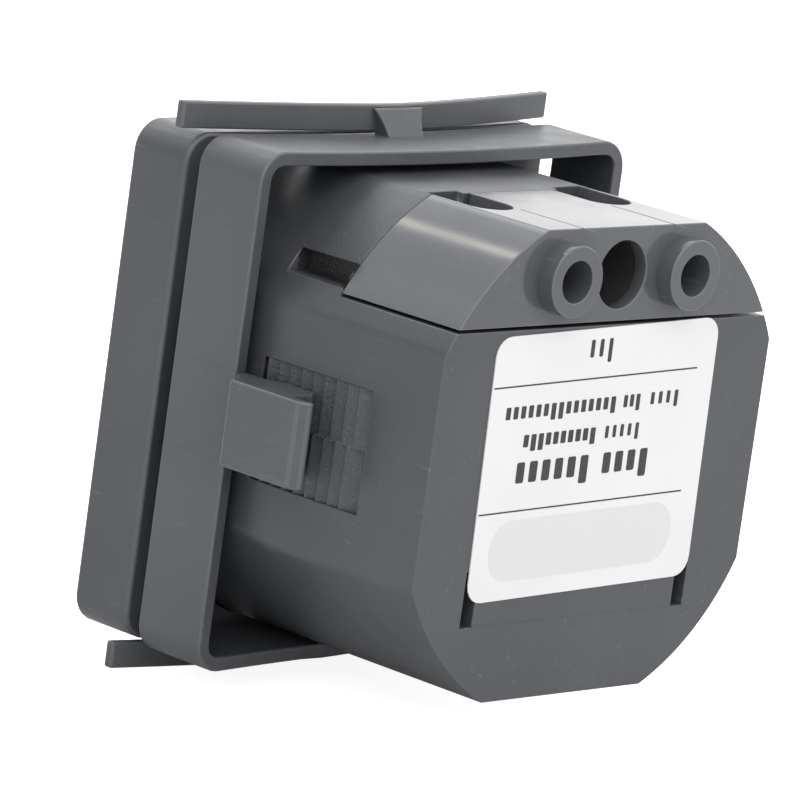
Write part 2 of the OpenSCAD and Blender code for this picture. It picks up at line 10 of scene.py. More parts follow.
import bmesh
import bpy
from mathutils import Matrix, Vector

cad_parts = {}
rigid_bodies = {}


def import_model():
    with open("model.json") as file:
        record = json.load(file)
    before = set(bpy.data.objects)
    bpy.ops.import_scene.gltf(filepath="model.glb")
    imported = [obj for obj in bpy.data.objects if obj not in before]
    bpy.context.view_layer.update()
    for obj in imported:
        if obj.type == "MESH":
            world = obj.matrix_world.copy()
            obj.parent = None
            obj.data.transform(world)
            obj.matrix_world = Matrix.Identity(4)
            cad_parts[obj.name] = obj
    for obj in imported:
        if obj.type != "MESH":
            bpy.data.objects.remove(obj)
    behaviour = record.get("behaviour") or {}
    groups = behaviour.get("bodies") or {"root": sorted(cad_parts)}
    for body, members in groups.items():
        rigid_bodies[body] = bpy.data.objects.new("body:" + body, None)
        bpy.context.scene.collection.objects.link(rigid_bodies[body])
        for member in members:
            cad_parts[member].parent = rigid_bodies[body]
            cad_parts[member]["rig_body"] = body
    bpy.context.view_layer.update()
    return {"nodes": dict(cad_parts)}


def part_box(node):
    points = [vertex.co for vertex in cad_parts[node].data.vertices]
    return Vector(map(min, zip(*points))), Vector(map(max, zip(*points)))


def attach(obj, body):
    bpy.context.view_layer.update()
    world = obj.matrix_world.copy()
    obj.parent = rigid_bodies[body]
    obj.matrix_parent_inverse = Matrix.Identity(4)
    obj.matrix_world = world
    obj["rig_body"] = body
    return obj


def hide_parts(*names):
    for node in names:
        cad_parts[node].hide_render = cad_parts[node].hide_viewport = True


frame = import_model()
scene = bpy.context.scene

MM_PER_M = 1000


def mm(*values):
    """Millimetres as metres: one number, or a Vector from three."""
    if len(values) == 1:
        return values[0] / MM_PER_M
    return Vector(values) / MM_PER_M


def box_mm(node):
    """Lowest and highest corner of a CAD node, in millimetres."""
    low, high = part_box(node)
    return low * MM_PER_M, high * MM_PER_M


def grey(value, warmth=0.0):
    """A linear grey; warmth above 0 leans to yellow and below 0 to blue."""
    return (value * (1 + warmth), value, value * (1 - warmth), 1.0)


def shade(colour, share):
    """A linear colour made darker where share is below 1, and lighter where it is above."""
    return [c * share for c in colour[:3]] + [1]


# ---------------------------------------------------------------- node helpers


class Finish:
    """One material's node tree, with its patterns placed in millimetres on the object."""

    def __init__(self, name):
        self.material = bpy.data.materials.new(name)
        self.material.use_nodes = True
        self.tree = self.material.node_tree
        self.shader = self.tree.nodes["Principled BSDF"]
        place = self.add("ShaderNodeTexCoord").outputs["Object"]
        self.place = self.vector("MULTIPLY", place, (MM_PER_M,) * 3)

    def add(self, kind, **settings):
        node = self.tree.nodes.new(kind)
        for key, value in settings.items():
            setattr(node, key, value)
        return node

    def feed(self, socket, value):
        """Links value to the socket if it is an output, or sets it there."""
        if isinstance(value, bpy.types.NodeSocket):
            self.tree.links.new(value, socket)
        else:
            socket.default_value = value

    def set(self, **inputs):
        """Feeds the shader's sockets, named with _ for a space."""
        for key, value in inputs.items():
            self.feed(self.shader.inputs[key.replace("_", " ")], value)

    def vector(self, operation, a, b):
        node = self.add("ShaderNodeVectorMath", operation=operation)
        self.feed(node.inputs[0], a)
        self.feed(node.inputs[1], b)
        return node.outputs["Value" if operation == "DOT_PRODUCT" else "Vector"]

    def math(self, operation, a, b=0.0):
        node = self.add("ShaderNodeMath", operation=operation)
        self.feed(node.inputs[0], a)
        self.feed(node.inputs[1], b)
        return node.outputs[0]

    def ramp(self, value, low, high, to_low=0.0, to_high=1.0):
        """A smooth step of value from low to high."""
        node = self.add("ShaderNodeMapRange", interpolation_type="SMOOTHSTEP")
        for key, number in zip(("Value", "From Min", "From Max", "To Min", "To Max"),
                               (value, low, high, to_low, to_high)):
            self.feed(node.inputs[key], number)
        return node.outputs[0]

    def mix(self, share, a, b):
        """Colour a where share is 0, and b where it is 1."""
        node = self.add("ShaderNodeMix", data_type="RGBA")
        self.feed(node.inputs[0], share)
        self.feed(node.inputs[6], a)
        self.feed(node.inputs[7], b)
        return node.outputs[2]

    def noise(self, size, detail=2.0, stretch=(1, 1, 1)):
        """Noise from 0 to 1 whose features are about size millimetres, longer where stretch is above 1."""
        node = self.add("ShaderNodeTexNoise")
        self.feed(node.inputs["Vector"], self.vector("DIVIDE", self.place, stretch))
        self.feed(node.inputs["Scale"], 1 / size)
        self.feed(node.inputs["Detail"], detail)
        return node.outputs["Fac"]

    def specks(self, spacing, radius, share):
        """1 inside small dots: a share of the cells of a grid of that spacing holds one."""
        node = self.add("ShaderNodeTexVoronoi")
        self.feed(node.inputs["Vector"], self.place)
        self.feed(node.inputs["Scale"], 1 / spacing)
        dot = self.ramp(node.outputs["Distance"], radius / spacing, 0.4 * radius / spacing)
        chance = self.add("ShaderNodeSeparateColor")
        self.feed(chance.inputs[0], node.outputs["Color"])
        return self.math("MULTIPLY", dot, self.math("LESS_THAN", chance.outputs[0], share))

    def inside(self, low, high, soft):
        """1 inside the box from low to high and in its mirror image in X; it fades over soft millimetres."""
        parts = self.add("ShaderNodeSeparateXYZ")
        self.feed(parts.inputs[0], self.place)
        share = 1.0
        for axis in range(3):
            at = parts.outputs[axis]
            if axis == 0:
                at = self.math("ABSOLUTE", at)
            share = self.math("MULTIPLY", share, self.ramp(at, low[axis] - soft, low[axis]))
            share = self.math("MULTIPLY", share, self.ramp(at, high[axis] + soft, high[axis]))
        return share

    def bump(self, height, depth, under=None):
        """Adds relief: height from 0 to 1 is depth millimetres."""
        node = self.add("ShaderNodeBump")
        self.feed(node.inputs["Height"], height)
        self.feed(node.inputs["Distance"], mm(depth))
        if under is not None:
            self.feed(node.inputs["Normal"], under)
        self.set(Normal=node.outputs["Normal"])
        return node.outputs["Normal"]


# ---------------------------------------------------------------- materials


def moulded_plastic(name, colour, roughness, grain, dust, rough_and_painted_light_areas=(), gloss=0.5):
    """Semi-gloss injection-moulded ABS: tool grain, slow tone drift, faint wipe marks and dust.

    Each rough area is (low corner, high corner, fade, pit size, pit depth, how much painted shade darkens it,
    how much painted glint lightens it).
    """
    f = Finish(name)
    drift = f.ramp(f.noise(14, detail=3), 0.3, 0.7)
    tone = f.mix(drift, shade(colour, 0.93), shade(colour, 1.07))
    wipe = f.ramp(f.noise(0.5, detail=4, stretch=(1, 9, 1.5)), 0.62, 0.8)
    tone = f.mix(f.math("MULTIPLY", wipe, 0.12), tone, grey(0.3, -0.04))
    motes = f.specks(0.9, 0.05, dust)
    flecks = f.specks(2.3, 0.09, dust)
    dirt = f.math("MAXIMUM", motes, flecks)
    tone = f.mix(f.math("MULTIPLY", dirt, 0.55), tone, grey(0.55))
    sheen = f.ramp(f.noise(3.5, detail=4), 0.3, 0.7, roughness * 0.88, roughness * 1.12)
    fine = f.noise(0.09, detail=2)
    relief = f.bump(fine, grain)
    relief = f.bump(f.noise(6, detail=1), 0.02, relief)
    for low, high, fade, pit, depth, darker, painted_glint in rough_and_painted_light_areas:
        patch = f.inside(low, high, fade)
        pits = f.ramp(f.noise(pit, detail=3), 0.35, 0.65)
        relief = f.bump(f.math("MULTIPLY", patch, pits), depth, relief)
        # painted shade: darkens the colour inside the area
        tone = f.mix(f.math("MULTIPLY", patch, darker), tone, grey(0.006))
        # painted glints: light flecks in the colour inside the area
        glints = f.math("MULTIPLY", patch, f.ramp(f.noise(0.16, detail=1), 0.64, 0.74))
        tone = f.mix(f.math("MULTIPLY", glints, painted_glint), tone, grey(0.5))
        sheen = f.math("ADD", sheen, f.math("MULTIPLY", patch, 0.08))
    f.set(Base_Color=tone, Roughness=f.math("ADD", sheen, f.math("MULTIPLY", dirt, 0.3)),
          IOR=1.5, Specular_IOR_Level=gloss)
    return f.material


def metal(name, colour, roughness, brushed=(1, 1, 1)):
    """Turned or plated metal: fine tool marks and slightly clouded plating."""
    f = Finish(name)
    cloud = f.ramp(f.noise(1.6, detail=3), 0.3, 0.7)
    marks = f.noise(0.5, detail=3, stretch=brushed)
    f.set(Base_Color=f.mix(cloud, shade(colour, 0.8), shade(colour, 1)),
          Metallic=1.0,
          Roughness=f.ramp(marks, 0.3, 0.7, roughness * 0.7, roughness * 1.4))
    f.bump(f.noise(0.12, detail=2, stretch=brushed), 0.004)
    return f.material


def inner_plastic(name, colour, roughness, clearness=0.0):
    """Moulded or painted inner pieces: two close tones and a soft orange-peel surface."""
    f = Finish(name)
    blotch = f.ramp(f.noise(2.2, detail=3), 0.35, 0.65)
    f.set(Base_Color=f.mix(blotch, shade(colour, 0.85), shade(colour, 1)),
          Roughness=f.ramp(f.noise(0.9, detail=2), 0.3, 0.7, roughness * 0.85, roughness * 1.15),
          Subsurface_Weight=clearness, Subsurface_Radius=(mm(0.6), mm(0.5), mm(0.4)))
    f.bump(f.noise(0.3, detail=2), 0.006)
    return f.material


def clear_lens(name):
    """Polished clear polycarbonate with faint haze and dust."""
    f = Finish(name)
    f.set(Base_Color=f.mix(f.specks(1.4, 0.05, 0.2), grey(0.96, -0.01), grey(0.6)),
          Transmission_Weight=1.0, IOR=1.49,
          Roughness=f.ramp(f.noise(5, detail=3), 0.4, 0.75, 0.0, 0.04))
    f.bump(f.noise(9, detail=1), 0.004)
    return f.material


def label_paper(name):
    """Matt coated label stock: a very fine tooth and a slow cream drift."""
    f = Finish(name)
    f.set(Base_Color=f.mix(f.ramp(f.noise(9, detail=3), 0.3, 0.7), grey(0.545, 0.004), grey(0.565, -0.004)),
          Roughness=f.ramp(f.noise(0.3, detail=3), 0.3, 0.7, 0.42, 0.55))
    f.bump(f.noise(0.12, detail=3), 0.002)
    return f.material


def ink(name, colour, mottle=0.25):
    """Printed ink: slightly uneven cover."""
    f = Finish(name)
    uneven = f.ramp(f.noise(0.25, detail=3), 0.35, 0.7)
    lighter = [c + (0.5 - c) * 0.12 for c in colour]
    f.set(Base_Color=f.mix(f.math("MULTIPLY", uneven, mottle), shade(colour, 1), lighter + [1]),
          Roughness=f.ramp(f.noise(0.5), 0.3, 0.7, 0.45, 0.6))
    return f.material


def wound_wire(name, colour):
    """Enamelled winding: close turns around X shown as fine ribs."""
    f = Finish(name)
    wave = f.add("ShaderNodeTexWave", bands_direction="X")
    f.feed(wave.inputs["Vector"], f.place)
    f.feed(wave.inputs["Scale"], 1.6)
    f.feed(wave.inputs["Distortion"], 0.3)
    turn = wave.outputs["Fac"]
    f.set(Base_Color=f.mix(turn, shade(colour, 0.45), shade(colour, 1)),
          Metallic=0.6, Roughness=f.ramp(turn, 0, 1, 0.5, 0.3))
    f.bump(turn, 0.06)
    return f.material


def circuit_laminate(name, colour):
    """Glass-epoxy board: woven cloth under green solder mask."""
    f = Finish(name)
    weave = f.add("ShaderNodeTexChecker")
    f.feed(weave.inputs["Vector"], f.place)
    f.feed(weave.inputs["Scale"], 3.0)
    cloth = f.math("MULTIPLY", weave.outputs["Fac"], f.noise(0.8, detail=2))
    f.set(Base_Color=f.mix(cloth, shade(colour, 1), shade(colour, 1.7)),
          Roughness=f.ramp(f.noise(1.1), 0.3, 0.7, 0.25, 0.4))
    f.bump(cloth, 0.01)
    return f.material


# the ratchet, the pocket in each upper flank, and the grained patch on the arc above it; painted shade
# darkens the pocket, and painted glints fleck the ratchet and the pocket
ROUGH_AND_PAINTED_LIGHT_AREAS = (
    ((20.5, 11.3, -6.0), (24.0, 25.8, 6.0), 0.15, 0.3, 0.016, 0.0, 0.13),
    ((17.6, 11.2, 13.9), (19.5, 18.6, 16.0), 0.1, 0.3, 0.02, 0.85, 0.3),
    ((11.5, 13.8, 16.6), (18.6, 18.6, 22.0), 1.2, 0.22, 0.012, 0.0, 0.0),
)
BODY_GREY = (0.042, 0.0445, 0.050)
COVER_GREY = (0.066, 0.069, 0.075)
FRAME_GREY = (0.051, 0.054, 0.059)
# a near-black that paints the shade inside the cover's middle hole
HOLE_SHADE_GREY = (0.008, 0.0082, 0.009)
# a painted highlight along the rounded edges: their finish is this much lighter than the face beside it
EDGE_HIGHLIGHT_LIFT = 1.35

body_plastic = moulded_plastic("body_plastic", BODY_GREY, 0.35, 0.006, 0.10, ROUGH_AND_PAINTED_LIGHT_AREAS)
body_edge_highlight = moulded_plastic("body_edge_highlight", shade(BODY_GREY, EDGE_HIGHLIGHT_LIFT), 0.35, 0.004, 0.10, ROUGH_AND_PAINTED_LIGHT_AREAS)
cover_plastic = moulded_plastic("cover_plastic", COVER_GREY, 0.13, 0.0015, 0.12)
cover_edge_highlight = moulded_plastic("cover_edge_highlight", shade(COVER_GREY, EDGE_HIGHLIGHT_LIFT), 0.16, 0.001, 0.1)
frame_plastic = moulded_plastic("frame_plastic", FRAME_GREY, 0.38, 0.006, 0.08)
frame_edge_highlight = moulded_plastic("frame_edge_highlight", shade(FRAME_GREY, EDGE_HIGHLIGHT_LIFT), 0.36, 0.004, 0.08)
hole_shade_plastic = moulded_plastic("hole_shade_plastic", HOLE_SHADE_GREY, 0.6, 0.006, 0.05, gloss=0.12)
print_black = ink("print_black", (0.012, 0.012, 0.013))
print_white = ink("print_white", (0.8, 0.8, 0.78))
print_pale = ink("print_pale", (0.495, 0.495, 0.495), mottle=0.05)

slot_finish = {
    "lens_clear": clear_lens("lens_clear"),
    "dial_black": inner_plastic("dial_black", (0.012, 0.012, 0.013), 0.6),
    "label_white": label_paper("label_white"),
    "brass": metal("brass", (0.62, 0.44, 0.18), 0.28),
    "zinc_steel": metal("zinc_steel", (0.60, 0.60, 0.58), 0.32),
    "shaft_steel": metal("shaft_steel", (0.50, 0.50, 0.51), 0.22, brushed=(1, 6, 6)),
    "acetal": inner_plastic("acetal", (0.80, 0.77, 0.69), 0.42, clearness=0.25),
    "board_green": circuit_laminate("board_green", (0.02, 0.13, 0.05)),
    "capacitor_red": inner_plastic("capacitor_red", (0.42, 0.06, 0.03), 0.35),
    "resistor_tan": inner_plastic("resistor_tan", (0.55, 0.42, 0.24), 0.5),
    "wire_black": inner_plastic("wire_black", (0.02, 0.02, 0.02), 0.45),
    "wire_red": inner_plastic("wire_red", (0.45, 0.02, 0.015), 0.45),
    "winding_copper": wound_wire("winding_copper", (0.60, 0.25, 0.10)),
    "magnet_dark": metal("magnet_dark", (0.10, 0.10, 0.11), 0.5),
    "digit_black": inner_plastic("digit_black", (0.015, 0.015, 0.016), 0.5),
    "digit_red": inner_plastic("digit_red", (0.50, 0.025, 0.02), 0.5),
}

# CAD nodes whose own shape is shown, by the record's material slot
SLOT_NODES = {
    "brass": ["terminal_clamp_left", "terminal_clamp_right", "gear_arbors", "gear_pillars"],
    "zinc_steel": ["terminal_screw_left", "terminal_screw_right", "motor_can", "stator_claws",
                   "gear_plate", "side_plate_left", "side_plate_right"],
    "shaft_steel": ["rotor_shaft", "wheel_shaft", "pinion_shaft", "frame_rods"],
    "acetal": ["coil_bobbin", "gear_1", "gear_2", "gear_3", "drive_gear"]
              + [f"transfer_pinion_{i}" for i in range(1, 7)],
    "board_green": ["circuit_board"],
    "capacitor_red": ["film_capacitor"],
    "resistor_tan": ["dropper_resistor"],
    "wire_black": ["supply_leads"],
    "wire_red": ["coil_leads"],
    "winding_copper": ["coil_winding"],
    "magnet_dark": ["rotor_magnet"],
    "lens_clear": ["window_lens"],
    "dial_black": ["dial_plate"],
    "digit_red": ["digit_wheel_1", "digit_wheel_2"],
    "digit_black": [f"digit_wheel_{i}" for i in range(3, 8)],
}


def finish_cad_nodes():
    """Gives each CAD node that stays visible its slot's material."""
    for slot, nodes in SLOT_NODES.items():
        for name in nodes:
            mesh = frame["nodes"][name].data
            mesh.materials.clear()
            mesh.materials.append(slot_finish[slot])


# ---------------------------------------------------------------- mesh helpers


def new_piece(name, mesh, body, materials):
    """A new object from a mesh, riding a body."""
    piece = bpy.data.objects.new(name, mesh)
    scene.collection.objects.link(piece)
    for material in materials:
        piece.data.materials.append(material)
    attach(piece, body)
    return piece


def softened_shell(node, name, edge, materials, rings_cut=()):
    """Stands for a CAD shell, its corners rounded by edge millimetres in the second material, a lighter copy
    that is a painted highlight along the edges.

    rings_cut holds the normals of planes through the origin that split its flat rings, so that none closes.
    """
    weld, flat, corner, segments = 2e-6, math.radians(0.05), math.radians(34), 3
    source = frame["nodes"][node]
    bm = bmesh.new()
    bm.from_mesh(source.data)
    bmesh.ops.remove_doubles(bm, verts=bm.verts[:], dist=weld)
    bmesh.ops.dissolve_limit(bm, angle_limit=flat, verts=bm.verts[:], edges=bm.edges[:],
                             use_dissolve_boundaries=False)
    for across in rings_cut:
        everything = bm.verts[:] + bm.edges[:] + bm.faces[:]
        bmesh.ops.bisect_plane(bm, geom=everything, plane_co=(0, 0, 0), plane_no=across)
    for face in bm.faces:
        face.smooth = True
        face.material_index = 0
    rounded = bm.edges.layers.float.new("bevel_weight_edge")
    for line in bm.edges:
        turn = line.calc_face_angle_signed(0)
        line[rounded] = float(turn > corner)
        line.smooth = turn > -corner
    mesh = bpy.data.meshes.new(name)
    bm.to_mesh(mesh)
    bm.free()
    piece = new_piece(name, mesh, source["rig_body"], materials)
    rounding = piece.modifiers.new("rounding", "BEVEL")
    rounding.width = mm(edge)
    rounding.segments = segments
    rounding.limit_method = "WEIGHT"
    rounding.use_clamp_overlap = False
    rounding.harden_normals = True
    # the bevel faces take the second material, a painted highlight along the rounded edges
    rounding.material = 1
    even = piece.modifiers.new("even_shading", "WEIGHTED_NORMAL")
    even.keep_sharp = True
    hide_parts(node)
    return piece


def rounded_plate(bm, x_range, z_range, y_range, corner, steps=5):
    """Adds a plate with round corners in the XZ plane, in millimetres."""
    (x0, x1), (z0, z1), (y0, y1) = x_range, z_range, y_range
    centres = [(x1 - corner, z1 - corner), (x0 + corner, z1 - corner),
               (x0 + corner, z0 + corner), (x1 - corner, z0 + corner)]
    outline = []
    for quarter, (cx, cz) in enumerate(centres):
        for step in range(steps + 1):
            angle = math.radians(90) * (quarter + step / steps)
            outline.append((cx + corner * math.cos(angle), cz + corner * math.sin(angle)))
    rings = [[bm.verts.new(mm(x, y, z)) for x, z in outline] for y in (y0, y1)]
    count = len(outline)
    for i in range(count):
        j = (i + 1) % count
        bm.faces.new((rings[0][i], rings[0][j], rings[1][j], rings[1][i]))
    bm.faces.new(rings[0][::-1])
    bm.faces.new(rings[1])


def piece_from(bm, name, body, material):
    """Turns a bmesh into a riding piece with outward faces."""
    bmesh.ops.recalc_face_normals(bm, faces=bm.faces[:])
    mesh = bpy.data.meshes.new(name)
    bm.to_mesh(mesh)
    bm.free()
    return new_piece(name, mesh, body, [material])


# ---------------------------------------------------------------- label print

# how far print stands on its face, and how far it reaches into it
INK_T, INK_SINK = 0.015, 0.01
LABEL_TILT = math.radians(1.4)
LABEL_SIZE, LABEL_CENTRE, LABEL_CORNER = (30.5, 25.3), (0.25, 0.3), 1.9


def stick_on_label(bm, name, material):
    """Turns plates drawn square about the origin into a piece on the rear face, set slightly askew."""
    askew = Matrix.Rotation(LABEL_TILT, 4, "Y")
    askew.translation = mm(LABEL_CENTRE[0], 0, LABEL_CENTRE[1])
    bmesh.ops.transform(bm, matrix=askew, verts=bm.verts[:])
    return piece_from(bm, name, "meter_body", material)


def block_word(bm, start, end, line, height, y_range, fill):
    """A row of plain upright blocks that stands for one printed word, hanging from its line at the top."""
    usual_pitch, low_share, corner = height * 0.62, 0.74, height * 0.07
    count = max(2, round((end - start) / usual_pitch))
    pitch = (end - start) / count
    for i in range(count):
        tall = height if (i * i + i // 2) % 4 == 0 else height * low_share
        x0 = start + i * pitch
        rounded_plate(bm, (x0, x0 + pitch * fill), (line - tall, line), y_range, corner, steps=2)


def label():
    """The white label on the rear face: two thin rules, words as rows of plain blocks, and a pale patch."""
    sheet_low, sheet_high = box_mm("rating_label")
    half_w, half_h = LABEL_SIZE[0] / 2, LABEL_SIZE[1] / 2
    paper = bmesh.new()
    rounded_plate(paper, (-half_w, half_w), (-half_h, half_h), (sheet_low.y, sheet_high.y), LABEL_CORNER)
    sheet = stick_on_label(paper, "label_sheet", slot_finish["label_white"])
    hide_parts("rating_label")

    on_face = (sheet_high.y - INK_SINK, sheet_high.y + INK_T)
    marks = bmesh.new()
    rule, rule_x = 0.15, (-half_w + 2.4, half_w - 0.2)
    for line in (7.85, -4.15):
        rounded_plate(marks, rule_x, (line - rule / 2, line + rule / 2), on_face, rule * 0.3, steps=1)
    # where each word starts and ends, its line, its height, and how much of its pitch a block fills
    words = (
        (-0.5, 3.2, 11.6, 2.3, 0.42),
        (-10.6, -6.2, 5.9, 1.6, 0.45), (-5.3, -2.7, 5.9, 1.6, 0.62), (-1.9, 13.4, 5.9, 1.6, 0.62),
        (-5.6, -0.4, 3.1, 1.6, 0.45), (0.4, 10.5, 3.1, 1.6, 0.68),
        (-7.3, -0.5, 0.5, 2.7, 0.62), (0.9, 11.3, 0.5, 2.7, 0.62),
    )
    for start, end, line, height, fill in words:
        block_word(marks, start, end, line, height, on_face, fill)
    stick_on_label(marks, "label_marks", print_black)

    patch = bmesh.new()
    rounded_plate(patch, (-12.0, 13.0), (-10.9, -5.0), on_face, 2.7)
    stick_on_label(patch, "label_patch", print_pale)


# ---------------------------------------------------------------- display

WHEELS, WHEEL_PITCH = 7, 4.3


def wheel_x(wheel):
    """Middle of a number wheel's rim; wheel 1 is the rightmost seen from the front."""
    return (WHEELS // 2 - (wheel - 1)) * WHEEL_PITCH


def figure_mesh(text, size):
    """A flat figure as a mesh in its own XY plane, centred, in millimetres."""
    curve = bpy.data.curves.new("figure", "FONT")
    curve.body = text
    curve.size = size
    curve.align_x = "CENTER"
    curve.align_y = "CENTER"
    curve.resolution_u = 4
    holder = bpy.data.objects.new("figure", curve)
    scene.collection.objects.link(holder)
    bpy.context.view_layer.update()
    mesh = bpy.data.meshes.new_from_object(holder.evaluated_get(bpy.context.evaluated_depsgraph_get()))
    bpy.data.objects.remove(holder)
    bpy.data.curves.remove(curve)
    return mesh


def wheel_figures():
    """Figures 0 to 9 around every number wheel, bent to its rim."""
    size, narrow, proud, thick, bends = 4.6, 0.82, 0.03, 0.04, 6
    figures = [figure_mesh(str(n), size) for n in range(10)]
    for wheel in range(1, WHEELS + 1):
        low, high = box_mm(f"digit_wheel_{wheel}")
        radius = (high.z - low.z) / 2
        axis_y, axis_z = (low.y + high.y) / 2, (low.z + high.z) / 2
        rim_x = wheel_x(wheel)
        bm = bmesh.new()
        for n, figure in enumerate(figures):
            part = bmesh.new()
            part.from_mesh(figure)
            bmesh.ops.remove_doubles(part, verts=part.verts[:], dist=1e-4)
            for cut in range(-bends, bends + 1):
                bmesh.ops.bisect_plane(part, geom=part.verts[:] + part.edges[:] + part.faces[:],
                                       plane_co=(0, cut * size / (2 * bends + 2), 0), plane_no=(0, 1, 0))
            bmesh.ops.solidify(part, geom=part.faces[:], thickness=thick)
            turn = Matrix.Rotation(-2 * math.pi * n / len(figures), 4, "X")
            for v in part.verts:
                angle = v.co.y / radius
                r = radius + (proud if v.co.z > -thick / 2 else 0)
                at = turn @ Vector((v.co.x * narrow, -r * math.cos(angle), r * math.sin(angle)))
                v.co = mm(rim_x + at.x, axis_y + at.y, axis_z + at.z)
            copy = bpy.data.meshes.new("part")
            part.to_mesh(copy)
            part.free()
            bm.from_mesh(copy)
            bpy.data.meshes.remove(copy)
        piece_from(bm, f"figures_{wheel}", f"digit_wheel_{wheel}", print_white)
    for figure in figures:
        bpy.data.meshes.remove(figure)


def frame_outline(bm, x_range, z_range, y_range, line):
    """Four bars around a rectangle."""
    (x0, x1), (z0, z1) = x_range, z_range
    corner = line * 0.3
    rounded_plate(bm, (x0 - line, x1 + line), (z1, z1 + line), y_range, corner, 2)
    rounded_plate(bm, (x0 - line, x1 + line), (z0 - line, z0), y_range, corner, 2)
    rounded_plate(bm, (x0 - line, x0), (z0 - line, z1 + line), y_range, corner, 2)
    rounded_plate(bm, (x1, x1 + line), (z0 - line, z1 + line), y_range, corner, 2)


def dial_print():
    """Plain lines around the counter window, a tick over each wheel, and blocks above and below."""
    low, _ = box_mm("dial_plate")
    on_face = (low.y - INK_T, low.y + INK_SINK)
    window_x, window_low, window_high = 14.85, -0.8, 4.8
    margin, line, tick_w, tick_low, tick_high = 0.5, 0.25, 0.3, window_high + 1.1, window_high + 2.1
    bm = bmesh.new()
    frame_outline(bm, (-window_x - margin, window_x + margin), (window_low - margin, window_high + margin),
                  on_face, line)
    for wheel in range(1, WHEELS + 1):
        x = wheel_x(wheel)
        rounded_plate(bm, (x - tick_w / 2, x + tick_w / 2), (tick_low, tick_high), on_face, 0.05, 2)
    for x0, x1, z0, z1 in ((-5.2, 5.2, 9.4, 11.0), (-9.0, -2.0, -6.2, -5.0), (0.4, 9.0, -6.2, -5.0)):
        rounded_plate(bm, (x0, x1), (z0, z1), on_face, 0.3, 3)
    piece_from(bm, "dial_marks", "meter_body", print_white)


# ---------------------------------------------------------------- moulding marks

COLLAR_LEN, COVER_WALL = 1.9, 1.5


def hole_sleeve():
    """The blind sleeve behind the cover's middle hole: a closed near-black cup, painted shade seen only
    through the hole.
    """
    _, cover = box_mm("terminal_cover")
    back = cover.y - COLLAR_LEN - COVER_WALL
    depth, wall, bore, steps, centre_z = 9.0, 0.7, 3.3, 48, 17.9
    profile = [(bore, back), (bore, back - depth), (0.0, back - depth),
               (0.0, back - depth - wall), (bore + wall, back - depth - wall), (bore + wall, back)]
    bm = bmesh.new()
    rings = []
    for radius, y in profile:
        if radius == 0:
            rings.append([bm.verts.new(mm(0, y, centre_z))])
        else:
            rings.append([bm.verts.new(mm(radius * math.cos(a), y, centre_z + radius * math.sin(a)))
                          for a in (2 * math.pi * i / steps for i in range(steps))])
    for one, two in zip(rings, rings[1:] + rings[:1]):
        if len(one) == len(two) == 1:
            continue
        for i in range(steps):
            j = (i + 1) % steps
            corners = [one[i % len(one)], one[j % len(one)], two[j % len(two)], two[i % len(two)]]
            bm.faces.new(list(dict.fromkeys(corners)))
    for face in bm.faces:
        face.smooth = True
    piece_from(bm, "middle_hole_sleeve", "meter_body", hole_shade_plastic)


def ridge_y(bm, x, z, y_range, outward, width=0.14, height=0.03):
    """A low rounded ridge along Y on the surface point (x, z), standing towards outward."""
    side = Vector((outward[1], 0, -outward[0]))
    out = Vector((outward[0], 0, outward[1]))
    profile = [(-1, -0.5), (-0.6, 0.7), (0, 1), (0.6, 0.7), (1, -0.5)]
    rings = []
    for y in y_range:
        rings.append([bm.verts.new(mm(*(Vector((x, y, z)) + side * (a * width / 2) + out * (b * height))))
                      for a, b in profile])
    for i in range(len(profile)):
        j = (i + 1) % len(profile)
        bm.faces.new((rings[0][i], rings[0][j], rings[1][j], rings[1][i]))
    bm.faces.new(rings[0])
    bm.faces.new(rings[1][::-1])


def mould_marks():
    """Parting and witness lines that the tool leaves on the shells."""
    _, housing = box_mm("housing")
    _, cover = box_mm("terminal_cover")
    slots_x, slots_bottom, half_line = 13.8, -15.0, 0.06
    bm = bmesh.new()
    rounded_plate(bm, (-slots_x, slots_x), (slots_bottom - half_line, slots_bottom + half_line),
                  (housing.y - 0.01, housing.y + 0.02), 0.05, 2)
    piece_from(bm, "back_witness_line", "meter_body", body_plastic)

    panel_x, slots_rear = 6.3, 25.9
    bm = bmesh.new()
    for x in (-panel_x, panel_x):
        ridge_y(bm, x, cover.z, (slots_rear, cover.y - 0.3), (0, 1))
    piece_from(bm, "cover_witness_lines", "meter_body", cover_plastic)

    side_x, latch_z, side_y = 25.0, 4.3, (2.2, 10.2)
    bm = bmesh.new()
    for out in (1, -1):
        for z in (-latch_z, latch_z):
            ridge_y(bm, out * side_x, z, side_y, (out, 0))
    piece_from(bm, "frame_parting_lines", "mounting_frame", frame_plastic)


# ---------------------------------------------------------------- studio


